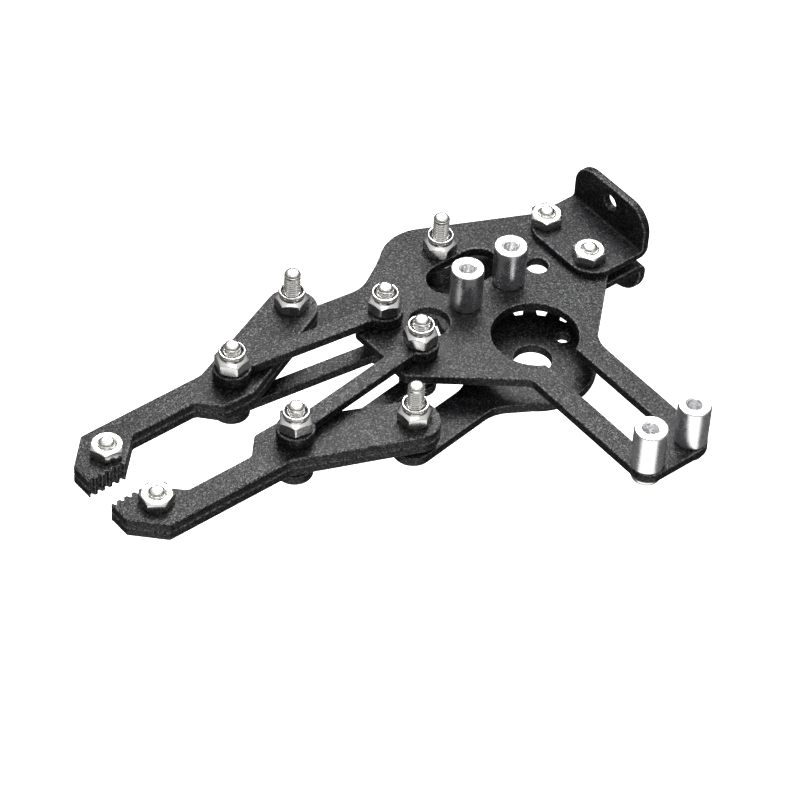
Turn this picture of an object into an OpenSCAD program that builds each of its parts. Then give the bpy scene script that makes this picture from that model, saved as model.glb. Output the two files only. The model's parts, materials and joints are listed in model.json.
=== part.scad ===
// Two-finger parallel gripper claw for a standard-size servo.
// The origin is on the rear wrist plane, midway between its two screw holes.
// +X points to the fingertips, +Y to the servo end, and +Z to the standoff side.
// Z = 0 is the middle of the body plate. The servo itself is not part of the claw.

/* [Sheet metal] */
// Thickness of every plate and bar
sheet_t = 2; // [1.5:0.1:2.2]
// Thickness of the washers under the upper link bars
washer_t = 0.8; // [0.6:0.1:1.2]
// Gap between the fingers and the layer of gear arms and lower link bars
lower_gap = 2.2; // [2:0.1:2.6]
// Axial play on each side of a layer that turns
play = 0.05; // [0.03:0.01:0.1]

/* [Linkage] */
// Distance from the wrist plane to both gear axes
gear_x = 30; // [29:0.5:32]
// Module of the gear teeth
gear_module = 1.5; // [1.4:0.05:1.5]
// Pivot-to-pivot length of the gear arms and of the link bars
arm_len = 31; // [28:0.5:34]
// Link pivots, ahead of the gear axes
link_dx = 19.6; // [18.5:0.1:20]
// Link pivots, to each side of the centre line
link_y = 5.1; // [4.5:0.1:5.4]
// Angle of the arms and bars from straight ahead, as stored
rest_angle = 7.5; // [4:0.5:20]
// Width of a link bar's round ends
bar_w = 6.8; // [6:0.1:7]
// Width of a link bar between its ends
bar_neck_w = 3.2; // [2.5:0.1:5]
// Width of a gear arm
arm_w = 7.3; // [6.5:0.1:8]

/* [Fingers] */
// Distance from the inner pivot to the fingertip
finger_reach = 34.6; // [32:0.2:38]
// Distance of the gripping pad from the inner pivot, towards the other finger
pad_y = 6; // [5.7:0.1:6.5]
// Number of grooves in each gripping pad
pad_grooves = 5; // [3:1:6]

/* [Servo seat] */
// Servo screw spacing along the servo
servo_pitch_y = 49.5; // [48:0.5:50]
// Servo screw spacing across the servo
servo_pitch_x = 10; // [9.5:0.5:10.5]
// Height of the servo standoffs
standoff_h = 8.5; // [6:0.5:12]
// Diameter of the servo standoffs
standoff_d = 6; // [5.5:0.1:6.5]
// Diameter of the hole for the servo's output collar
keyhole_d = 15.8; // [15:0.1:16.5]
// Diameter of the hole for the servo horn's hub in the drive gear
horn_hole_d = 7; // [6:0.1:8]

/* [Wrist brackets] */
// Thickness of both brackets
bracket_t = 1.5; // [1:0.1:2]
// Width of both brackets
bracket_w = 19.4; // [18.6:0.2:20]
// Height of the upper flange above the body plate
upper_flange_h = 10; // [9.5:0.1:14]
// Height of the lower flange below the body plate
lower_flange_h = 8.9; // [8.9:0.1:14]
// Spacing of the two wrist screw holes
wrist_pitch = 15; // [14:0.5:15.5]
// Diameter of the wrist screw holes
wrist_hole_d = 3; // [2.6:0.1:3.6]

/* [Hidden] */
$fn = 96;

black = [0.09, 0.09, 0.1];
steel = [0.78, 0.78, 0.8];
bare_aluminium = [0.88, 0.88, 0.9];

// M3 hardware
thread_r = 1.5;
fixed_hole_r = 1.6;
standoff_hole_r = 1.8;
turning_hole_r = thread_r + 0.05;
nut_bore_r = thread_r + 0.02;
tapped_r = 1.25;
hex_af = 5.5;
plain_nut_h = 2.1;
lock_nut_h = 4;
lock_hex_h = 2.6;
collar_r = 2.55;
head_r = 2.8;
head_h = 1.65;
socket_af = 2;
socket_depth = 1;
flat_head_r = 2.8;
flat_head_h = 1.5;
flat_head_recess = 0.1;
sink_play = 0.06;
spacer_r = 2.75;
washer_r = 3;
pivot_bolt_len = 16.5;
tip_bolt_len = 7;
bracket_bolt_len = 8;
standoff_screw_len = 4.5;
standoff_foot_depth = 3;

// Levels of the stacked layers
plate_top = sheet_t / 2;
plate_bottom = -sheet_t / 2;
finger_bottom = plate_top - 2 * sheet_t;
upper_bar_z = plate_top + washer_t + play;
lower_layer_top = finger_bottom - lower_gap;
lower_layer_z = lower_layer_top - sheet_t;
flat_head_z = lower_layer_z + flat_head_recess;
upper_nut_z = upper_bar_z + sheet_t + play;
plate_spacer_h = plate_bottom - lower_layer_top - play;
finger_spacer_h = lower_gap - play;

// Gears
gear_teeth = 18;
tooth_pitch = 360 / gear_teeth;
pitch_r = gear_module * gear_teeth / 2;
gear_y = pitch_r;
base_r = pitch_r * cos(20);
tip_r = pitch_r + 0.87 * gear_module;
root_r = pitch_r - 1.27 * gear_module;
backlash = 0.2;
sector_teeth = 6;
drive_first_tooth = 75;
idler_first_tooth = drive_first_tooth - tooth_pitch / 2;
horn_screw_reach = 8;

// Finger joints, measured from the inner pivot
outer_dx = -link_dx;
outer_dy = -(gear_y - link_y);
inner_boss_r = 5.1;
outer_boss_r = 4.6;
neck_inner_y = 1.1;
neck_outer_y = -3.9;
pad_x = 27;
tip_bolt_at = [28, 1.9];
groove_depth = 0.6;

// Wrist brackets
bracket_front_x = 14.2;
bracket_points = [[10.3, -7], [10.3, 5]];
bend_r = 0.5;

function outer_pivot(side) =
    [gear_x + arm_len * cos(rest_angle), side * (gear_y + arm_len * sin(rest_angle))];
function inner_pivot(side) =
    [gear_x + link_dx + arm_len * cos(rest_angle),
     side * (link_y + arm_len * sin(rest_angle))];

// ---- outlines with rounded corners ----

function unit(v) = v / norm(v);
function cross2(a, b) = a[0] * b[1] - a[1] * b[0];

// Arc that rounds the corner b between a and c with radius r
function corner_arc(a, b, c, r) =
    let (to_a = unit(a - b), to_c = unit(c - b),
         half = acos(to_a * to_c) / 2,
         centre = b + unit(to_a + to_c) * (r / sin(half)),
         turn = cross2(b - a, c - b) > 0 ? 1 : -1,
         sweep = 180 - 2 * half,
         start = b + to_a * (r / tan(half)) - centre,
         steps = max(2, ceil(sweep / 360 * $fn)))
    [for (i = [0 : steps])
        let (t = turn * sweep * i / steps)
        centre + [start[0] * cos(t) - start[1] * sin(t),
                  start[0] * sin(t) + start[1] * cos(t)]];

// Closed outline of corners given as [x, y, corner radius]
function rounded(corners) =
    let (n = len(corners))
    [for (i = [0 : n - 1])
        let (before = corners[(i + n - 1) % n], here = corners[i], after = corners[(i + 1) % n],
             b = [here[0], here[1]])
        for (p = here[2] > 0
                ? corner_arc([before[0], before[1]], b, [after[0], after[1]], here[2])
                : [b]) p];

// Places its children on the left (side = 1) or the right (side = -1)
module mirrored(side) {
    mirror([0, side > 0 ? 0 : 1, 0]) children();
}

module obround(half_len, r) {
    for (end = [-1, 1]) translate([end * half_len, 0]) circle(r);
    square([2 * half_len, 2 * r], center = true);
}

module hole(at, r) {
    translate([at[0], at[1], -50]) cylinder(h = 100, r = r);
}

// ---- hardware ----

module button_bolt(at, seat_z, length) {
    color(steel) translate([at[0], at[1], seat_z]) difference() {
        union() {
            cylinder(h = length, r = thread_r);
            translate([0, 0, -head_h]) cylinder(h = head_h, r = head_r);
        }
        translate([0, 0, -head_h - 1])
            cylinder(h = socket_depth + 1, r = socket_af / 2 / cos(30), $fn = 6);
    }
}

// Flat-head bolt: head_z is the flat underside of its head, and length includes the head
module flat_bolt(at, head_z, length) {
    color(steel) translate([at[0], at[1], head_z]) difference() {
        union() {
            cylinder(h = length, r = thread_r);
            cylinder(h = flat_head_h, r1 = flat_head_r, r2 = thread_r);
        }
        translate([0, 0, -1])
            cylinder(h = socket_depth + 1, r = socket_af / 2 / cos(30), $fn = 6);
    }
}

// Countersink in the underside of the lower layer, with room for the head to turn
module countersink(at) {
    translate([at[0], at[1], flat_head_z])
        cylinder(h = flat_head_h, r1 = flat_head_r + sink_play, r2 = thread_r + sink_play);
    translate([at[0], at[1], lower_layer_z - 1])
        cylinder(h = 1 + flat_head_recess, r = flat_head_r + sink_play);
}

module plain_nut(at, z) {
    color(steel) translate([at[0], at[1], z]) difference() {
        cylinder(h = plain_nut_h, r = hex_af / 2 / cos(30), $fn = 6);
        translate([0, 0, -1]) cylinder(h = plain_nut_h + 2, r = nut_bore_r);
    }
}

module lock_nut(at, z) {
    color(steel) translate([at[0], at[1], z]) difference() {
        union() {
            cylinder(h = lock_hex_h, r = hex_af / 2 / cos(30), $fn = 6);
            cylinder(h = lock_nut_h, r = collar_r);
        }
        translate([0, 0, -1]) cylinder(h = lock_nut_h + 2, r = nut_bore_r);
    }
}

// Washer or spacer
module ring(at, z, h, r) {
    translate([at[0], at[1], z]) difference() {
        cylinder(h = h, r = r);
        translate([0, 0, -1]) cylinder(h = h + 2, r = nut_bore_r);
    }
}

// ---- body ----

idler_at = [gear_x, -gear_y];
drive_at = [gear_x, gear_y];
link_points = [for (side = [-1, 1]) [gear_x + link_dx, side * link_y]];
standoff_points = [for (dx = [-1, 1]) for (y = [0, servo_pitch_y])
    [gear_x + dx * servo_pitch_x / 2, y]];
rail_x = 7.9;
rail_end_y = servo_pitch_y + 3.2;
slot_x = 3.5;
slot_end_y = servo_pitch_y - 4.5;
window_y = -6.7;
window_half_len = 3.5;
window_r = 4;

// Outline of the body plate, measured from the middle of the gear axes
plate_corners = [
    [25.4, -6, 1.5],
    [25.4, 8.2, 1.5],
    [rail_x, 22.2, 1.5],
    [rail_x, rail_end_y, 3],
    [-rail_x, rail_end_y, 3],
    [-rail_x, 21.2, 6],
    [-20.6, 9.5, 1],
    [-24, 6.4, 1],
    [-24, -9.6, 1],
    [4.7, -22.9, 9]];

module body_plate() {
    color(black) difference() {
        translate([gear_x, 0, plate_bottom]) linear_extrude(sheet_t) difference() {
            polygon(rounded(plate_corners));
            polygon(rounded([[-slot_x, gear_y, 0], [slot_x, gear_y, 0],
                             [slot_x, slot_end_y, 1], [-slot_x, slot_end_y, 1]]));
            translate([0, window_y]) obround(window_half_len, window_r);
        }
        hole(drive_at, keyhole_d / 2);
        hole([gear_x + 13.3, 0], 3.75);
        hole([gear_x - 11.9, 0], 2);
        hole(idler_at, fixed_hole_r);
        for (p = concat(link_points, bracket_points)) hole(p, fixed_hole_r);
        for (p = standoff_points) hole(p, standoff_hole_r);
    }
}

module wrist_bracket(flange_h, corner_r) {
    base_z = plate_top;
    front_x = bracket_front_x;
    top_z = plate_top + flange_h;
    inner = bracket_t + bend_r;
    color(black) difference() {
        intersection() {
            translate([0, bracket_w / 2, 0]) rotate([90, 0, 0]) linear_extrude(bracket_w) union() {
                translate([inner, base_z]) square([front_x - inner, bracket_t]);
                translate([0, base_z + inner]) square([bracket_t, top_z - base_z - inner]);
                translate([inner, base_z + inner]) intersection() {
                    difference() {
                        circle(inner);
                        circle(bend_r);
                    }
                    translate([-inner, -inner]) square(inner);
                }
            }
            translate([0, 0, base_z - 1]) linear_extrude(flange_h + 2)
                polygon(rounded([[-1, -bracket_w / 2, 0], [front_x, -bracket_w / 2, 5],
                                 [front_x, bracket_w / 2, 5], [-1, bracket_w / 2, 0]]));
            translate([-1, 0, 0]) rotate([90, 0, 90]) linear_extrude(front_x + 2)
                polygon(rounded([[-bracket_w / 2, 0, 0], [bracket_w / 2, 0, 0],
                                 [bracket_w / 2, top_z, corner_r],
                                 [-bracket_w / 2, top_z, corner_r]]));
        }
        for (p = bracket_points) hole(p, fixed_hole_r);
        translate([-1, 0, wrist_pitch / 2]) rotate([0, 90, 0])
            cylinder(h = bracket_t + 3, r = wrist_hole_d / 2);
    }
}

module upper_wrist_bracket() {
    wrist_bracket(upper_flange_h, 5);
}

module lower_wrist_bracket() {
    mirror([0, 0, 1]) wrist_bracket(lower_flange_h, 6.5);
}

module bracket_bolts() {
    for (p = bracket_points)
        button_bolt(p, plate_bottom - bracket_t, bracket_bolt_len);
}

module bracket_nuts() {
    for (p = bracket_points) plain_nut(p, plate_top + bracket_t);
}

module servo_standoffs() {
    for (p = standoff_points)
        color(bare_aluminium) translate([p[0], p[1], plate_top]) difference() {
            cylinder(h = standoff_h, r = standoff_d / 2);
            translate([0, 0, -1]) cylinder(h = standoff_h + 2, r = tapped_r);
            translate([0, 0, -1]) cylinder(h = standoff_foot_depth + 1, r = nut_bore_r);
        }
}

module standoff_screws() {
    for (p = standoff_points) button_bolt(p, plate_bottom, standoff_screw_len);
}

module idler_pivot_bolt() {
    flat_bolt(idler_at, flat_head_z, pivot_bolt_len);
}

module idler_pivot_nut() {
    lock_nut(idler_at, plate_top);
}

module idler_pivot_spacer() {
    color(steel) ring(idler_at, plate_bottom - plate_spacer_h, plate_spacer_h, spacer_r);
}

module link_pivot_bolts() {
    for (p = link_points) flat_bolt(p, flat_head_z, pivot_bolt_len);
}

module link_pivot_nuts() {
    for (p = link_points) lock_nut(p, upper_nut_z);
}

module link_pivot_washers() {
    for (p = link_points) color(black) ring(p, plate_top, washer_t, washer_r);
}

module link_pivot_spacers() {
    for (p = link_points)
        color(steel) ring(p, plate_bottom - plate_spacer_h, plate_spacer_h, spacer_r);
}

// ---- gear arms ----

// Involute function of the pressure angle, in degrees
function involute(angle) = tan(angle) * 180 / PI - angle;
// Half the angle that a tooth spans at radius r
function tooth_half_angle(r) =
    (PI * gear_module / 2 - backlash) / (2 * pitch_r) * 180 / PI
    + involute(20) - involute(acos(min(1, base_r / r)));
function polar(r, angle) = [r * cos(angle), r * sin(angle)];
flank_steps = 6;
flank = [for (i = [0 : flank_steps])
    let (r = base_r + (tip_r - base_r) * i / flank_steps) polar(r, -tooth_half_angle(r))];
// One tooth around the X axis, with rounded tip corners
tooth_corners = concat(
    [[root_r - 1, -1.5, 0], [flank[0][0] - 0.9, flank[0][1] - 0.12, 0.3]],
    [for (i = [0 : flank_steps]) [flank[i][0], flank[i][1], i == flank_steps ? 0.28 : 0]],
    [for (i = [flank_steps : -1 : 0]) [flank[i][0], -flank[i][1], i == flank_steps ? 0.28 : 0]],
    [[flank[0][0] - 0.9, 0.12 - flank[0][1], 0.3], [root_r - 1, 1.5, 0]]);

// Gear sector and arm around its own axis: arm along +X, teeth towards -Y
module gear_arm_outline(first_tooth) {
    half = arm_w / 2;
    shoulder = root_r + 2.4;
    circle(root_r);
    for (i = [0 : sector_teeth - 1])
        rotate(-first_tooth - i * tooth_pitch) polygon(rounded(tooth_corners));
    polygon(rounded([
        [0, -root_r * 0.86, 0],
        [root_r * 0.5, -root_r * 0.86, 0],
        [shoulder, -half, 7],
        [arm_len, -half, 0],
        [arm_len, half, 0],
        [shoulder, half, 7],
        [root_r * 0.5, root_r * 0.86, 0],
        [0, root_r * 0.86, 0]]));
    translate([arm_len, 0]) circle(half);
}

module gear_arm(first_tooth, side) {
    color(black) difference() {
        translate([gear_x, side * gear_y, lower_layer_z]) mirrored(side) rotate(rest_angle)
            linear_extrude(sheet_t) gear_arm_outline(first_tooth);
        hole(outer_pivot(side), turning_hole_r);
        countersink(outer_pivot(side));
        if (side > 0) {
            hole(drive_at, horn_hole_d / 2);
            for (end = [-1, 1])
                hole(drive_at + polar(end * horn_screw_reach, rest_angle), tapped_r);
        } else {
            hole(idler_at, turning_hole_r);
            countersink(idler_at);
        }
    }
}

module drive_gear_arm() {
    gear_arm(drive_first_tooth, 1);
}

module idler_gear_arm() {
    gear_arm(idler_first_tooth, -1);
}

// ---- link bars and fingers ----

// Narrow bar with two round ends, along +X from its first pivot
module link_bar_outline() {
    for (x = [0, arm_len]) translate([x, 0]) circle(bar_w / 2);
    translate([0, -bar_neck_w / 2]) square([arm_len, bar_neck_w]);
}

module link_bar(side, z) {
    from = [gear_x + link_dx, side * link_y];
    to = inner_pivot(side);
    color(black) difference() {
        translate([from[0], from[1], z]) rotate(side * rest_angle)
            linear_extrude(sheet_t) link_bar_outline();
        hole(from, turning_hole_r);
        hole(to, turning_hole_r);
        if (z < 0) {
            countersink(from);
            countersink(to);
        }
    }
}

// Direction from the outer to the inner pivot, and its left-hand normal
boss_dir = unit([-outer_dx, -outer_dy]);
boss_normal = [-boss_dir[1], boss_dir[0]];

// Finger outline around its inner pivot: tip along +X, other finger towards +Y
module finger_outline() {
    inner_edge = inner_boss_r * boss_normal;
    outer_edge = [outer_dx, outer_dy] + outer_boss_r * boss_normal;
    inner_back = -inner_boss_r * boss_normal;
    outer_back = [outer_dx, outer_dy] - outer_boss_r * boss_normal;
    end_cap = -outer_boss_r * boss_dir;
    crown = inner_edge + boss_dir * ((inner_boss_r - inner_edge[1]) / boss_dir[1]);
    knee = inner_back
        + boss_dir * ((neck_outer_y - inner_back[1]) / boss_dir[1]);
    groove_pitch = (finger_reach - pad_x) / pad_grooves;
    difference() {
        polygon(rounded([
            [finger_reach, 1.4, 0.6],
            [finger_reach, pad_y, 0.3],
            [pad_x, pad_y, 0.4],
            [pad_x - 5, neck_inner_y, 1.2],
            [8.6, neck_inner_y, 1.5],
            [5.2, 4.8, 1],
            [crown[0], crown[1], inner_boss_r],
            [outer_edge[0] + end_cap[0], outer_edge[1] + end_cap[1], outer_boss_r - 0.2],
            [outer_back[0] + end_cap[0], outer_back[1] + end_cap[1], outer_boss_r - 0.2],
            [knee[0], knee[1], 4],
            [finger_reach - 5.2, neck_outer_y, 0.6]]));
        for (i = [0 : pad_grooves - 1])
            translate([pad_x + (i + 0.5) * groove_pitch, pad_y])
                polygon([[-0.5, 0.1], [0.5, 0.1], [0.2, -groove_depth], [-0.2, -groove_depth]]);
    }
}

module finger_plate(side, z) {
    at = inner_pivot(side);
    color(black) difference() {
        translate([at[0], at[1], z]) mirrored(-side)
            linear_extrude(sheet_t) finger_outline();
        hole(at, fixed_hole_r);
        hole(outer_pivot(side), fixed_hole_r);
        hole(tip_point(side), fixed_hole_r);
    }
}

function tip_point(side) =
    inner_pivot(side) + [tip_bolt_at[0], -side * tip_bolt_at[1]];

module finger_hardware(side, piece) {
    if (piece == "tip_bolt") button_bolt(tip_point(side), finger_bottom, tip_bolt_len);
    if (piece == "tip_nut") plain_nut(tip_point(side), plate_top);
    if (piece == "outer_pivot_bolt")
        flat_bolt(outer_pivot(side), flat_head_z, pivot_bolt_len);
    if (piece == "outer_pivot_nut") lock_nut(outer_pivot(side), plate_top);
    if (piece == "outer_pivot_spacer")
        color(steel) ring(outer_pivot(side), finger_bottom - finger_spacer_h, finger_spacer_h, spacer_r);
    if (piece == "inner_pivot_bolt")
        flat_bolt(inner_pivot(side), flat_head_z, pivot_bolt_len);
    if (piece == "inner_pivot_nut") lock_nut(inner_pivot(side), upper_nut_z);
    if (piece == "inner_pivot_washer")
        color(black) ring(inner_pivot(side), plate_top, washer_t, washer_r);
    if (piece == "inner_pivot_spacer")
        color(steel) ring(inner_pivot(side), finger_bottom - finger_spacer_h, finger_spacer_h, spacer_r);
}

// All the pieces of one jaw, picked by name
module jaw(side, piece) {
    if (piece == "upper_link_bar") link_bar(side, upper_bar_z);
    if (piece == "lower_link_bar") link_bar(side, lower_layer_z);
    if (piece == "finger_upper_plate") finger_plate(side, plate_top - sheet_t);
    if (piece == "finger_lower_plate") finger_plate(side, finger_bottom);
    finger_hardware(side, piece);
}

body_plate();
upper_wrist_bracket();
lower_wrist_bracket();
bracket_bolts();
bracket_nuts();
servo_standoffs();
standoff_screws();
idler_pivot_bolt();
idler_pivot_nut();
idler_pivot_spacer();
link_pivot_bolts();
link_pivot_nuts();
link_pivot_washers();
link_pivot_spacers();
drive_gear_arm();
idler_gear_arm();
jaw(1, "upper_link_bar");  // left_upper_link_bar
jaw(1, "lower_link_bar");  // left_lower_link_bar
jaw(1, "finger_upper_plate");  // left_finger_upper_plate
jaw(1, "finger_lower_plate");  // left_finger_lower_plate
jaw(1, "tip_bolt");  // left_tip_bolt
jaw(1, "tip_nut");  // left_tip_nut
jaw(1, "outer_pivot_bolt");  // left_outer_pivot_bolt
jaw(1, "outer_pivot_nut");  // left_outer_pivot_nut
jaw(1, "outer_pivot_spacer");  // left_outer_pivot_spacer
jaw(1, "inner_pivot_bolt");  // left_inner_pivot_bolt
jaw(1, "inner_pivot_nut");  // left_inner_pivot_nut
jaw(1, "inner_pivot_washer");  // left_inner_pivot_washer
jaw(1, "inner_pivot_spacer");  // left_inner_pivot_spacer
jaw(-1, "upper_link_bar");  // right_upper_link_bar
jaw(-1, "lower_link_bar");  // right_lower_link_bar
jaw(-1, "finger_upper_plate");  // right_finger_upper_plate
jaw(-1, "finger_lower_plate");  // right_finger_lower_plate
jaw(-1, "tip_bolt");  // right_tip_bolt
jaw(-1, "tip_nut");  // right_tip_nut
jaw(-1, "outer_pivot_bolt");  // right_outer_pivot_bolt
jaw(-1, "outer_pivot_nut");  // right_outer_pivot_nut
jaw(-1, "outer_pivot_spacer");  // right_outer_pivot_spacer
jaw(-1, "inner_pivot_bolt");  // right_inner_pivot_bolt
jaw(-1, "inner_pivot_nut");  // right_inner_pivot_nut
jaw(-1, "inner_pivot_washer");  // right_inner_pivot_washer
jaw(-1, "inner_pivot_spacer");  // right_inner_pivot_spacer
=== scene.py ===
"""Looks of a two-finger gripper claw: powder-coated sheet metal and bright plated hardware."""

import json
import math

import bmesh
import bpy
from mathutils import Matrix, Vector

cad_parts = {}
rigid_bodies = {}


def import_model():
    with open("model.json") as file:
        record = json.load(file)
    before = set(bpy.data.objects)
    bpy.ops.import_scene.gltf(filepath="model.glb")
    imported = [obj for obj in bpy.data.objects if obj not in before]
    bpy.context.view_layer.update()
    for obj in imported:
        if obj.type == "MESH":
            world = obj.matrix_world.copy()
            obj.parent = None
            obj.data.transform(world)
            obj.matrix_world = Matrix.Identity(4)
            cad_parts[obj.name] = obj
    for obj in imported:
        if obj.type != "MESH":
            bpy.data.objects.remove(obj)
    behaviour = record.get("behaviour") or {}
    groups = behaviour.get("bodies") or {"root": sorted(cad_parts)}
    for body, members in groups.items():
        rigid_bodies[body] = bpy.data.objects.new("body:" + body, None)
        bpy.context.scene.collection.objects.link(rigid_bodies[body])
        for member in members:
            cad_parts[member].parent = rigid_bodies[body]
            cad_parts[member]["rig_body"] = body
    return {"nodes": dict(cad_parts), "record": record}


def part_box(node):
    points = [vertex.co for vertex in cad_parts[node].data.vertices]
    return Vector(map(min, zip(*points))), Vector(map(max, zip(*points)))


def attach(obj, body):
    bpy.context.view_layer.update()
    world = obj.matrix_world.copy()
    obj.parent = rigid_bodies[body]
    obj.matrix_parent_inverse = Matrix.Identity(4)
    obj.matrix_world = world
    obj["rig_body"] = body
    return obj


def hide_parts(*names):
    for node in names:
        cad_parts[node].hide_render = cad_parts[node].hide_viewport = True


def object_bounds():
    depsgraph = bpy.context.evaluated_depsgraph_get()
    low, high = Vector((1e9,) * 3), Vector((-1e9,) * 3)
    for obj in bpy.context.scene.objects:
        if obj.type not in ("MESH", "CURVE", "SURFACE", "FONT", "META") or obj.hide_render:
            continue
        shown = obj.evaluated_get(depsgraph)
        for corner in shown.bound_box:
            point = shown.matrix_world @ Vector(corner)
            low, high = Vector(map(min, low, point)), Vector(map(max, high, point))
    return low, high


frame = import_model()
cad_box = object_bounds()

MM = 0.001
MOUNTS = {row["name"]: row for row in frame["record"]["mounts"]}

# M3 hardware, in millimetres
THREAD_R = 1.5
THREAD_PITCH = 0.5
THREAD_DEPTH = 0.2
HEX_AF = 5.5
NUT_FACE_R = 2.6
LOCK_HEX_H = 2.5
SKIRT_R = 2.42
NECK_R = 2.2
COLLAR_R = 2.46
ROLL_R = 0.26
NYLON_R = 1.96
SOCKET_AF = 2.0
SOCKET_DEPTH = 1.1
STANDOFF_BORE_R = 1.27
HARDWARE_ROUNDING = 0.05

# Thread lengths of the bolts and screws, in millimetres
LONG_PIVOT_THREAD = 8.5
SHORT_PIVOT_THREAD = 3.5
PLATE_BOLT_THREAD = 3
STANDOFF_SCREW_THREAD = 4.5

# Sheet edges sharper than SHARP degrees are rounded, those under GENTLE degrees by FINE_SHARE only
SHARP = 35
GENTLE = 60
FINE_SHARE = 0.3

# World light: height of the direction where it starts to brighten, and its strength there and at the top
SKY_FROM = 0.15
SKY_LOW = 0.12
SKY_HIGH = 1.0


# ---- materials ----

def new_material(name, color, roughness, metallic=0.0):
    mat = bpy.data.materials.new(name)
    mat.use_nodes = True
    mat.diffuse_color = (*color, 1)
    shader = mat.node_tree.nodes["Principled BSDF"]
    shader.inputs["Base Color"].default_value = (*color, 1)
    shader.inputs["Roughness"].default_value = roughness
    shader.inputs["Metallic"].default_value = metallic
    return mat, mat.node_tree, shader


def add_node(tree, kind, **settings):
    node = tree.nodes.new(kind)
    for key, value in settings.items():
        setattr(node, key, value)
    return node


def object_coords(tree, stretch=(1, 1, 1)):
    """Object coordinates, scaled along each axis."""
    coords = add_node(tree, "ShaderNodeTexCoord")
    mapping = add_node(tree, "ShaderNodeMapping")
    mapping.inputs["Scale"].default_value = stretch
    tree.links.new(coords.outputs["Object"], mapping.inputs["Vector"])
    return mapping.outputs["Vector"]


def noise(tree, coords, size_mm, detail=2.0, rough=0.5):
    """Noise whose blobs are about size_mm across."""
    node = add_node(tree, "ShaderNodeTexNoise")
    node.inputs["Scale"].default_value = 1 / (size_mm * MM)
    node.inputs["Detail"].default_value = detail
    node.inputs["Roughness"].default_value = rough
    tree.links.new(coords, node.inputs["Vector"])
    return node.outputs["Fac"]


def grains(tree, coords, size_mm):
    """A random number from 0 to 1 for each grain about size_mm across."""
    node = add_node(tree, "ShaderNodeTexVoronoi")
    node.inputs["Scale"].default_value = 1 / (size_mm * MM)
    tree.links.new(coords, node.inputs["Vector"])
    split = add_node(tree, "ShaderNodeSeparateColor")
    tree.links.new(node.outputs["Color"], split.inputs["Color"])
    return split.outputs["Red"]


def remap(tree, value, low, high, to_low, to_high):
    node = add_node(tree, "ShaderNodeMapRange", clamp=True)
    for name, number in (("From Min", low), ("From Max", high), ("To Min", to_low), ("To Max", to_high)):
        node.inputs[name].default_value = number
    tree.links.new(value, node.inputs["Value"])
    return node.outputs["Result"]


def maths(tree, operation, a, b):
    node = add_node(tree, "ShaderNodeMath", operation=operation)
    for socket, value in zip(node.inputs, (a, b)):
        if isinstance(value, (int, float)):
            socket.default_value = value
        else:
            tree.links.new(value, socket)
    return node.outputs["Value"]


def mix_color(tree, share, a, b):
    node = add_node(tree, "ShaderNodeMix", data_type="RGBA")
    tree.links.new(share, node.inputs["Factor"])
    for index, value in ((6, a), (7, b)):
        if isinstance(value, tuple):
            node.inputs[index].default_value = (*value, 1)
        else:
            tree.links.new(value, node.inputs[index])
    return node.outputs[2]


def bump(tree, shader, height, depth_mm, strength=1.0):
    node = add_node(tree, "ShaderNodeBump")
    node.inputs["Strength"].default_value = strength
    node.inputs["Distance"].default_value = depth_mm * MM
    tree.links.new(height, node.inputs["Height"])
    tree.links.new(node.outputs["Normal"], shader.inputs["Normal"])


def powder_coat():
    """Black powder coat of fine grains, a few of them bright, with a lighter tone painted along the rims:
    partly rubbed wear, partly a painted highlight.
    """
    mat, tree, shader = new_material("powder_coat", (0.013, 0.013, 0.014), 0.36)
    coords = object_coords(tree)
    grain = grains(tree, coords, 0.22)
    swell = noise(tree, coords, 0.4, 1, 0.6)
    cloud = noise(tree, coords, 12, 3)
    bright = maths(tree, "POWER", grain, 4)
    tone = mix_color(tree, bright, (0.003, 0.003, 0.004), (0.045, 0.045, 0.046))
    edge = add_node(tree, "ShaderNodeAttribute", attribute_name="edge").outputs["Fac"]
    # Lighter tone on the roundings: partly rubbed wear, partly a painted highlight along the rims
    rim_wear_and_highlight = maths(tree, "MULTIPLY", edge, remap(tree, grain, 0.3, 1, 0.1, 1))
    tree.links.new(mix_color(tree, rim_wear_and_highlight, tone, (0.22, 0.22, 0.225)), shader.inputs["Base Color"])
    tree.links.new(remap(tree, bright, 0, 1, 0.12, 0.38), shader.inputs["Specular IOR Level"])
    tree.links.new(remap(tree, cloud, 0.3, 0.7, 0.32, 0.42), shader.inputs["Roughness"])
    bump(tree, shader, maths(tree, "ADD", swell, maths(tree, "MULTIPLY", bright, 0.15)), 0.09)
    return mat


def plated_steel(name, color, roughness):
    """Bright nickel plating on steel, with faint handling marks."""
    mat, tree, shader = new_material(name, color, roughness, 1.0)
    coords = object_coords(tree)
    marks = noise(tree, object_coords(tree, (1, 1, 4)), 0.9, 5, 0.7)
    haze = noise(tree, coords, 2.2, 2)
    dull = tuple(c * 0.82 for c in color)
    tree.links.new(
        mix_color(tree, remap(tree, haze, 0.3, 0.7, 0, 1), dull, color), shader.inputs["Base Color"])
    tree.links.new(
        remap(tree, marks, 0.3, 0.7, roughness - 0.06, roughness + 0.12), shader.inputs["Roughness"])
    bump(tree, shader, marks, 0.012, 0.5)
    return mat


def turned_aluminium():
    """Bare aluminium with the fine rings that turning leaves."""
    mat, tree, shader = new_material("turned_aluminium", (0.87, 0.87, 0.88), 0.28, 1.0)
    rings = noise(tree, object_coords(tree, (0.02, 0.02, 1)), 0.06, 3, 0.7)
    patches = noise(tree, object_coords(tree), 1.6, 3)
    tree.links.new(
        mix_color(tree, remap(tree, patches, 0.3, 0.7, 0, 1), (0.80, 0.80, 0.81), (0.93, 0.93, 0.94)),
        shader.inputs["Base Color"])
    tree.links.new(remap(tree, patches, 0.3, 0.7, 0.22, 0.34), shader.inputs["Roughness"])
    bump(tree, shader, rings, 0.02, 0.8)
    return mat


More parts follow.
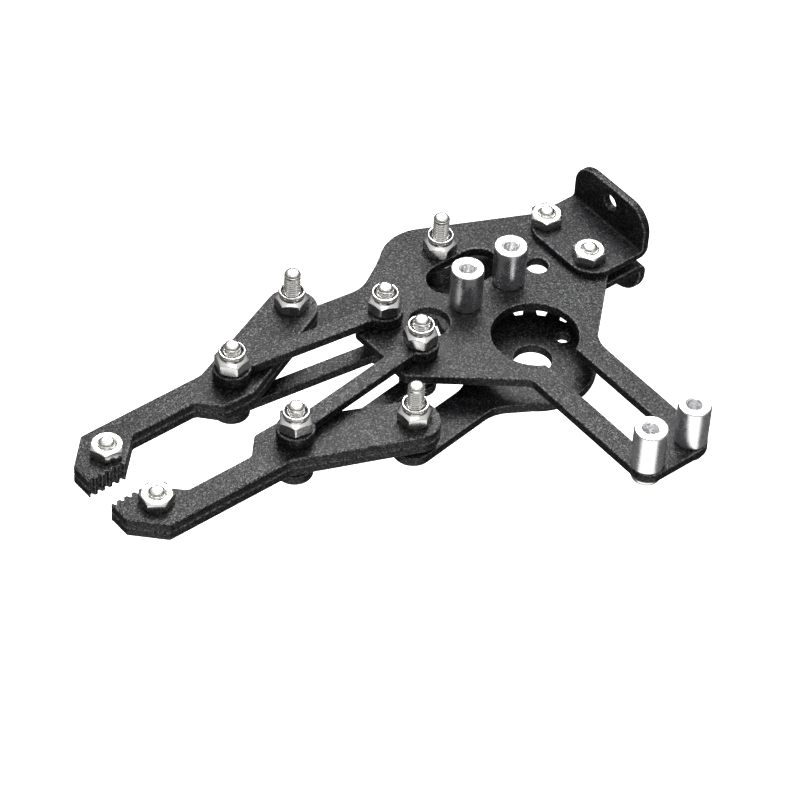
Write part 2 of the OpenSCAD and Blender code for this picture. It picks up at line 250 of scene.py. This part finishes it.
def nylon():
    """Matte black plastic of the washers and of the rings in the lock nuts."""
    mat, tree, shader = new_material("nylon", (0.014, 0.014, 0.015), 0.5)
    shader.inputs["Specular IOR Level"].default_value = 0.25
    mottle = noise(tree, object_coords(tree), 0.5, 3)
    tree.links.new(
        mix_color(tree, remap(tree, mottle, 0.3, 0.7, 0, 1), (0.01, 0.01, 0.011), (0.022, 0.022, 0.024)),
        shader.inputs["Base Color"])
    tree.links.new(remap(tree, mottle, 0.3, 0.7, 0.42, 0.6), shader.inputs["Roughness"])
    bump(tree, shader, mottle, 0.02, 0.5)
    return mat


POWDER_COAT = powder_coat()
NUT_STEEL = plated_steel("nut_nickel", (0.78, 0.77, 0.75), 0.2)
BOLT_STEEL = plated_steel("bolt_nickel", (0.74, 0.73, 0.70), 0.24)
ALUMINIUM = turned_aluminium()
NYLON = nylon()


# ---- pieces ----

def stand_for(piece, node):
    """The piece replaces a CAD node: it rides on the node's body."""
    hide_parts(node)
    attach(piece, frame["nodes"][node]["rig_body"])
    return piece


def finished(name, bm, material, bevel_mm, bevel_angle, segments=2):
    """Turns a bmesh into a smooth-shaded object with its sharp edges rounded.

    Edges with a bevel weight are rounded by that share of bevel_mm. Without weights, every
    edge sharper than bevel_angle is rounded. The float attribute "edge" is 1 along the
    middle of each rounding and 0 elsewhere."""
    weighted = "bevel_weight_edge" in bm.edges.layers.float
    mesh = bpy.data.meshes.new(name)
    bm.to_mesh(mesh)
    bm.free()
    mesh.materials.append(material)
    mesh.materials.append(material)
    mesh.shade_smooth()
    piece = bpy.data.objects.new(name, mesh)
    bpy.context.scene.collection.objects.link(piece)
    rounding = piece.modifiers.new("rounding", "BEVEL")
    rounding.width = bevel_mm * MM
    rounding.segments = segments
    rounding.limit_method = "WEIGHT" if weighted else "ANGLE"
    rounding.angle_limit = math.radians(bevel_angle)
    rounding.use_clamp_overlap = False
    rounding.loop_slide = False
    rounding.material = 1
    normals = piece.modifiers.new("normals", "WEIGHTED_NORMAL")
    normals.weight = 80
    graph = bpy.context.evaluated_depsgraph_get()
    final = bpy.data.meshes.new_from_object(
        piece.evaluated_get(graph), preserve_all_data_layers=True, depsgraph=graph)
    piece.modifiers.clear()
    piece.data = final
    bpy.data.meshes.remove(mesh)
    final.name = name
    on_rounding = [True] * len(final.vertices)
    for face in final.polygons:
        if face.material_index != 1:
            for v in face.vertices:
                on_rounding[v] = False
        face.material_index = 0
    while len(final.materials) > 1:
        final.materials.pop()
    edge = final.attributes.new("edge", "FLOAT", "POINT")
    edge.data.foreach_set("value", [float(v) for v in on_rounding])
    return piece


# ---- sheet metal ----

def sheet_metal(node, rounding_mm, is_fine=None, merge_mm=0.001):
    """A CAD plate with its flat faces merged and its rims rounded.

    Countersinks, and points that is_fine picks, are rounded by FINE_SHARE of that.
    Points closer than merge_mm become one, so that no rounding is wider than a ledge."""
    bm = bmesh.new()
    bm.from_mesh(frame["nodes"][node].data)
    bmesh.ops.remove_doubles(bm, verts=bm.verts, dist=merge_mm * MM)
    bmesh.ops.dissolve_limit(bm, angle_limit=math.radians(0.2), verts=bm.verts, edges=bm.edges)
    weight = bm.edges.layers.float.new("bevel_weight_edge")
    for e in bm.edges:
        angle = math.degrees(e.calc_face_angle())
        if angle > SHARP:
            fine = angle < GENTLE or (is_fine is not None and all(is_fine(v.co) for v in e.verts))
            e[weight] = FINE_SHARE if fine else 1
    piece = finished(node + "_detail", bm, POWDER_COAT, rounding_mm, SHARP, segments=3)
    return stand_for(piece, node)


def on_pad(node):
    """Tells whether a point of a finger plate lies in the grooved pad."""
    low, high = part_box(node)
    inner_y = low.y if low.y > 0 else high.y
    pad_depth, pad_length = 0.9 * MM, 8 * MM
    return lambda p: abs(p.y - inner_y) < pad_depth and p.x > high.x - pad_length


def sheet_metal_parts():
    sheet_metal("body_plate", 0.3)
    for node in ("upper_wrist_bracket", "lower_wrist_bracket"):
        sheet_metal(node, 0.3)
    for node in ("drive_gear_arm", "idler_gear_arm", "left_lower_link_bar", "right_lower_link_bar"):
        sheet_metal(node, 0.22, merge_mm=0.02)
    for hand in ("left", "right"):
        sheet_metal(f"{hand}_upper_link_bar", 0.3)
        for layer in ("upper", "lower"):
            node = f"{hand}_finger_{layer}_plate"
            sheet_metal(node, 0.38, on_pad(node))


# ---- turned and hexagonal hardware ----

def solids(node):
    """Lowest and highest corner of each separate solid in a CAD node, in order of x and y."""
    bm = bmesh.new()
    bm.from_mesh(frame["nodes"][node].data)
    bmesh.ops.remove_doubles(bm, verts=bm.verts, dist=1e-6)
    unseen, boxes = set(bm.verts), []
    while unseen:
        reached = [unseen.pop()]
        for v in reached:
            for e in v.link_edges:
                other = e.other_vert(v)
                if other in unseen:
                    unseen.remove(other)
                    reached.append(other)
        low = Vector(min(v.co[k] for v in reached) for k in range(3))
        high = Vector(max(v.co[k] for v in reached) for k in range(3))
        boxes.append((low, high))
    bm.free()
    return sorted(boxes, key=lambda b: (round(b[0].x, 5), round(b[0].y, 5)))


def revolve(bm, at, rows, steps=72, closed=False, turn=0.0):
    """Skins rows of points around a vertical axis at the point at.

    A row is (radius, height) in millimetres, or a function that gives them for an angle
    in degrees. A radius of 0 closes the skin in one point. With closed, the last row joins
    the first, as in a ring."""
    rings = []
    for row in rows:
        if not callable(row) and row[0] == 0:
            rings.append([bm.verts.new(at + Vector((0, 0, row[1] * MM)))])
            continue
        ring = []
        for i in range(steps):
            angle = 360 * i / steps
            r, z = row(angle) if callable(row) else row
            a = math.radians(angle + turn)
            ring.append(bm.verts.new(at + Vector((r * math.cos(a), r * math.sin(a), z)) * MM))
        rings.append(ring)
    pairs = list(zip(rings, rings[1:])) + ([(rings[-1], rings[0])] if closed else [])
    for below, above in pairs:
        for i in range(steps):
            j = (i + 1) % steps
            corners = [below[i % len(below)], below[j % len(below)],
                       above[j % len(above)], above[i % len(above)]]
            bm.faces.new(dict.fromkeys(corners))


def hexagon(across_flats, z):
    """Row of a hexagon. Its height z may be a function of the radius."""
    def row(angle):
        r = across_flats / 2 / math.cos(math.radians(angle % 60 - 30))
        return r, z(r) if callable(z) else z
    return row


def threads(r, low, high, depth, outward=1):
    """Rows of a helical thread of major radius r that fades out at both ends."""
    rows_per_turn = 6
    count = max(2, round((high - low) / THREAD_PITCH * rows_per_turn))

    def row(z):
        fade = min(1, (z - low) / THREAD_PITCH, (high - z) / THREAD_PITCH)

        def at_angle(angle):
            phase = (z / THREAD_PITCH - angle / 360) % 1
            groove = min(1, max(0, 1.25 - abs(phase - 0.5) * 3.2))
            return r - outward * depth * fade * groove, z
        return at_angle
    return [row(low + (high - low) * i / count) for i in range(count + 1)]


def hardware(node, build, material):
    """One piece for all the solids of a node, each made by build(bm, place, height, index)."""
    bm = bmesh.new()
    for index, (low, high) in enumerate(solids(node)):
        place = Vector(((low.x + high.x) / 2, (low.y + high.y) / 2, low.z))
        build(bm, place, (high.z - low.z) / MM, index)
    bmesh.ops.remove_doubles(bm, verts=bm.verts, dist=1e-7)
    bmesh.ops.recalc_face_normals(bm, faces=bm.faces)
    return stand_for(finished(node + "_detail", bm, material, HARDWARE_ROUNDING, 28), node)


def socket_rows(face_z, depth):
    """Hexagon socket, from the middle of its floor to its mouth."""
    floor_z = face_z + depth
    return [(0, floor_z + 0.25), hexagon(SOCKET_AF * 0.92, floor_z), hexagon(SOCKET_AF, floor_z - 0.1),
            hexagon(SOCKET_AF, face_z + 0.08), (SOCKET_AF / 2 / math.cos(math.radians(30)) + 0.12, face_z)]


def tip_rows(top):
    """The end of a bolt: thread runout, chamfer and a slight dome."""
    return [(THREAD_R - 0.16, top - 0.6), (THREAD_R - 0.14, top - 0.5), (THREAD_R - 0.18, top - 0.36),
            (THREAD_R - 0.3, top - 0.2), (THREAD_R - 0.55, top - 0.06), (0.45, top), (0.3, top - 0.05),
            (0, top - 0.05)]


def shank_rows(plain_from, height, thread_length):
    """Plain shank, then threads up to the tip of a bolt."""
    thread_low = max(plain_from + 0.2, height - thread_length)
    return ([(THREAD_R - 0.03, plain_from), (THREAD_R - 0.03, thread_low - 0.1)]
            + threads(THREAD_R, thread_low, height - 0.65, THREAD_DEPTH) + tip_rows(height))


def flat_head_bolt(thread_length):
    """Bolt with a flat head at its foot, for a countersink."""
    def build(bm, place, height, index):
        head = [(2.6, 0), (2.7, 0.06), (2.7, 0.11), (THREAD_R - 0.02, 1.5)]
        revolve(bm, place, socket_rows(0, SOCKET_DEPTH) + head + shank_rows(1.6, height, thread_length))
    return build


def button_head_bolt(thread_length):
    """Bolt with a domed head at its foot."""
    def build(bm, place, height, index):
        dome = [(1.75, 0.06), (2.2, 0.25), (2.55, 0.6), (2.74, 1.05), (2.78, 1.5), (2.7, 1.64),
                (THREAD_R + 0.1, 1.65)]
        revolve(bm, place, socket_rows(0, 0.9) + dome + shank_rows(1.75, height, thread_length))
    return build


def chamfer(face_r, face_z, slope):
    """Height of a hexagon's edge where a cone trims it."""
    return lambda r: face_z + slope * math.tan(math.radians(30)) * max(0, r - face_r)


def plain_nut(turns):
    """Plain hexagon nut. turns holds the angle of each of the node's nuts."""
    def build(bm, place, height, index):
        rows = [(THREAD_R + 0.22, 0), (NUT_FACE_R, 0), hexagon(HEX_AF, chamfer(NUT_FACE_R, 0, 1)),
                hexagon(HEX_AF, chamfer(NUT_FACE_R, height, -1)), (NUT_FACE_R, height),
                (THREAD_R + 0.25, height), (THREAD_R - 0.02, height - 0.22), (THREAD_R - 0.02, 0.2)]
        revolve(bm, place, rows, closed=True, turn=turns[index])
    return build


def lock_nut(turns):
    """Hexagon under a neck and a rolled collar that holds the nylon ring."""
    def build(bm, place, height, index):
        rows = [(THREAD_R + 0.22, 0), (NUT_FACE_R, 0), hexagon(HEX_AF, chamfer(NUT_FACE_R, 0, 1)),
                hexagon(HEX_AF, chamfer(SKIRT_R, LOCK_HEX_H, -1)), (SKIRT_R, LOCK_HEX_H + 0.02),
                (NECK_R, LOCK_HEX_H + 0.1), (NECK_R, height - 0.86)]
        for angle in range(-60, 181, 30):
            a = math.radians(angle)
            rows.append((COLLAR_R - ROLL_R * (1 - math.cos(a)), height - ROLL_R * (1 - math.sin(a))))
        rows += [(NYLON_R, height - 0.9), (THREAD_R - 0.02, height - 1), (THREAD_R - 0.02, 0.2)]
        revolve(bm, place, rows, closed=True, turn=turns[index])
    return build


def nylon_rings(node):
    """The nylon inserts of a node's lock nuts, as a piece of their own."""
    bm = bmesh.new()
    for low, high in solids(node):
        place = Vector(((low.x + high.x) / 2, (low.y + high.y) / 2, high.z))
        rows = [(NYLON_R - 0.01, -0.9), (NYLON_R - 0.01, -0.7), (NYLON_R - 0.06, -0.64),
                (THREAD_R + 0.08, -0.64), (THREAD_R - 0.03, -0.72), (THREAD_R - 0.05, -0.9)]
        revolve(bm, place, rows, closed=True)
    bmesh.ops.recalc_face_normals(bm, faces=bm.faces)
    piece = finished(node + "_nylon", bm, NYLON, 0.04, 28)
    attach(piece, frame["nodes"][node]["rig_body"])
    return piece


def standoff(bm, place, height, index):
    """Turned post with a threaded hole that goes right through."""
    low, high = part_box("servo_standoffs")
    r = (high.x - low.x) / 2 / MM - MOUNTS["servo_screws"]["dims"]["spacing_x_mm"] / 2
    outside = [(STANDOFF_BORE_R + 0.32, 0), (r - 0.2, 0), (r, 0.2), (r, height - 0.18), (r - 0.18, height),
               (THREAD_R + 0.16, height), (THREAD_R + 0.02, height - 0.14)]
    bore = threads(STANDOFF_BORE_R, 0.2, height - 0.2, THREAD_DEPTH * 0.85, outward=-1)
    revolve(bm, place, outside + bore[::-1], closed=True)


def ring_of(node):
    """Builder of washers and spacers as wide as those of the node."""
    low, high = solids(node)[0]
    r = (high.x - low.x) / 2 / MM
    edge = 0.14

    def build(bm, place, height, index):
        rows = [(THREAD_R + 0.1, 0), (r - edge, 0), (r - edge * 0.3, edge * 0.3), (r, edge),
                (r, height - edge), (r - edge * 0.3, height - edge * 0.3), (r - edge, height),
                (THREAD_R + 0.1, height), (THREAD_R + 0.02, height - 0.1), (THREAD_R + 0.02, 0.1)]
        revolve(bm, place, rows, closed=True)
    return build


def hardware_parts():
    flat_bolts = {"idler_pivot_bolt": LONG_PIVOT_THREAD, "link_pivot_bolts": SHORT_PIVOT_THREAD}
    lock_nuts = {"idler_pivot_nut": [14], "link_pivot_nuts": [40, 8]}
    spacers = ["idler_pivot_spacer", "link_pivot_spacers"]
    washers = ["link_pivot_washers"]
    tip_turns = {"left": 24, "right": 50}
    outer_turns = {"left": 33, "right": 20}
    inner_turns = {"left": 52, "right": 12}
    for hand in ("left", "right"):
        flat_bolts[f"{hand}_outer_pivot_bolt"] = LONG_PIVOT_THREAD
        flat_bolts[f"{hand}_inner_pivot_bolt"] = SHORT_PIVOT_THREAD
        lock_nuts[f"{hand}_outer_pivot_nut"] = [outer_turns[hand]]
        lock_nuts[f"{hand}_inner_pivot_nut"] = [inner_turns[hand]]
        spacers += [f"{hand}_outer_pivot_spacer", f"{hand}_inner_pivot_spacer"]
        washers.append(f"{hand}_inner_pivot_washer")
        hardware(f"{hand}_tip_bolt", button_head_bolt(PLATE_BOLT_THREAD), BOLT_STEEL)
        hardware(f"{hand}_tip_nut", plain_nut([tip_turns[hand]]), NUT_STEEL)
    for node, thread_length in flat_bolts.items():
        hardware(node, flat_head_bolt(thread_length), BOLT_STEEL)
    for node, turns in lock_nuts.items():
        hardware(node, lock_nut(turns), NUT_STEEL)
        nylon_rings(node)
    for node in spacers:
        hardware(node, ring_of(node), NUT_STEEL)
    for node in washers:
        hardware(node, ring_of(node), NYLON)
    hardware("bracket_bolts", button_head_bolt(PLATE_BOLT_THREAD), BOLT_STEEL)
    hardware("bracket_nuts", plain_nut([50, 5]), NUT_STEEL)
    hardware("standoff_screws", button_head_bolt(STANDOFF_SCREW_THREAD), BOLT_STEEL)
    hardware("servo_standoffs", standoff, ALUMINIUM)


sheet_metal_parts()
hardware_parts()


# ---- studio ----

def paper():
    """White paper that glows a little, so that it stays white under any light."""
    mat, tree, shader = new_material("studio_paper", (0.93, 0.93, 0.93), 0.9)
    mottle = noise(tree, object_coords(tree), 30, 2)
    tree.links.new(
        mix_color(tree, remap(tree, mottle, 0.3, 0.7, 0, 1), (0.92, 0.92, 0.92), (0.94, 0.94, 0.94)),
        shader.inputs["Base Color"])
    shader.inputs["Emission Color"].default_value = (1, 1, 1, 1)
    shader.inputs["Emission Strength"].default_value = 0.95
    return mat


def backdrop(name, bm, material):
    """A stage piece that the camera sees, and that neither lights nor shades the object."""
    mesh = bpy.data.meshes.new(name)
    bm.to_mesh(mesh)
    bm.free()
    mesh.materials.append(material)
    piece = bpy.data.objects.new(name, mesh)
    bpy.context.scene.collection.objects.link(piece)
    piece.visible_diffuse = False
    piece.visible_glossy = False
    piece.visible_shadow = False


def sky():
    """Soft light from above that falls off to near black at the horizon and below."""
    world = bpy.data.worlds.new("studio")
    world.use_nodes = True
    tree = world.node_tree
    direction = add_node(tree, "ShaderNodeTexCoord").outputs["Generated"]
    split = add_node(tree, "ShaderNodeSeparateXYZ")
    tree.links.new(direction, split.inputs["Vector"])
    glow = remap(tree, split.outputs["Z"], SKY_FROM, 1, SKY_LOW, SKY_HIGH)
    background = tree.nodes["Background"]
    background.inputs["Color"].default_value = (1, 1, 1, 1)
    tree.links.new(glow, background.inputs["Strength"])
    bpy.context.scene.world = world
    bpy.context.scene.view_settings.view_transform = "Standard"


def softbox(name, azimuth, elevation, size, radiance, distance=5):
    """Square light that faces the object. Its size and distance are in object lengths."""
    low, high = cad_box
    centre, reach = (low + high) / 2, (high - low).length
    light = bpy.data.lights.new(name, "AREA")
    light.shape = "SQUARE"
    light.size = size * reach
    light.energy = radiance * math.pi * light.size ** 2
    lamp = bpy.data.objects.new(name, light)
    bpy.context.scene.collection.objects.link(lamp)
    a, e = math.radians(azimuth), math.radians(elevation)
    away = Vector((math.cos(a) * math.cos(e), math.sin(a) * math.cos(e), math.sin(e)))
    lamp.location = centre + away * distance * reach
    lamp.visible_camera = False
    lamp.rotation_mode = "QUATERNION"
    lamp.rotation_quaternion = away.to_track_quat("Z", "Y")


def studio():
    low, high = cad_box
    centre, reach = (low + high) / 2, (high - low).length
    white = paper()
    floor = bmesh.new()
    bmesh.ops.create_grid(floor, x_segments=1, y_segments=1, size=40 * reach)
    bmesh.ops.translate(floor, verts=floor.verts, vec=(centre.x, centre.y, low.z - 1.2 * reach))
    backdrop("floor", floor, white)
    dome = bmesh.new()
    bmesh.ops.create_icosphere(dome, subdivisions=4, radius=38 * reach)
    bmesh.ops.translate(dome, verts=dome.verts, vec=centre)
    backdrop("backdrop", dome, white)
    sky()
    softbox("overhead_softbox", 229, 55, 1.2, 19, distance=2.4)
    softbox("top_softbox", 49, 74, 2.2, 3)
    softbox("left_softbox", 105, 25, 1.6, 2.2)
    softbox("right_softbox", -15, 30, 1.2, 2.0)
    softbox("under_softbox", 49, -50, 7, 1.3)


def camera():
    """Long lens, level with the plate's top between the two inner standoffs."""
    azimuth, elevation, roll = math.radians(48.99), math.radians(44.71), math.radians(3.5)
    distance, right_by, up_by = 681.6 * MM, -15.6 * MM, -19.5 * MM
    servo = MOUNTS["servo_screws"]
    target = Vector((servo["pos_m"][0], servo["pos_m"][1] - servo["dims"]["spacing_y_mm"] / 2 * MM,
                     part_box("body_plate")[1].z))
    back = Vector((math.cos(azimuth) * math.cos(elevation), math.sin(azimuth) * math.cos(elevation),
                   math.sin(elevation)))
    level = Vector((-math.sin(azimuth), math.cos(azimuth), 0))
    right = Matrix.Rotation(roll, 3, back) @ level
    up = back.cross(right)
    data = bpy.data.cameras.new("camera")
    data.lens = 170.8
    data.sensor_width = 36
    cam = bpy.data.objects.new("camera", data)
    bpy.context.scene.collection.objects.link(cam)
    place = target + right * right_by + up * up_by + back * distance
    cam.matrix_world = Matrix.Translation(place) @ Matrix((right, up, back)).transposed().to_4x4()
    bpy.context.scene.camera = cam


studio()
camera()
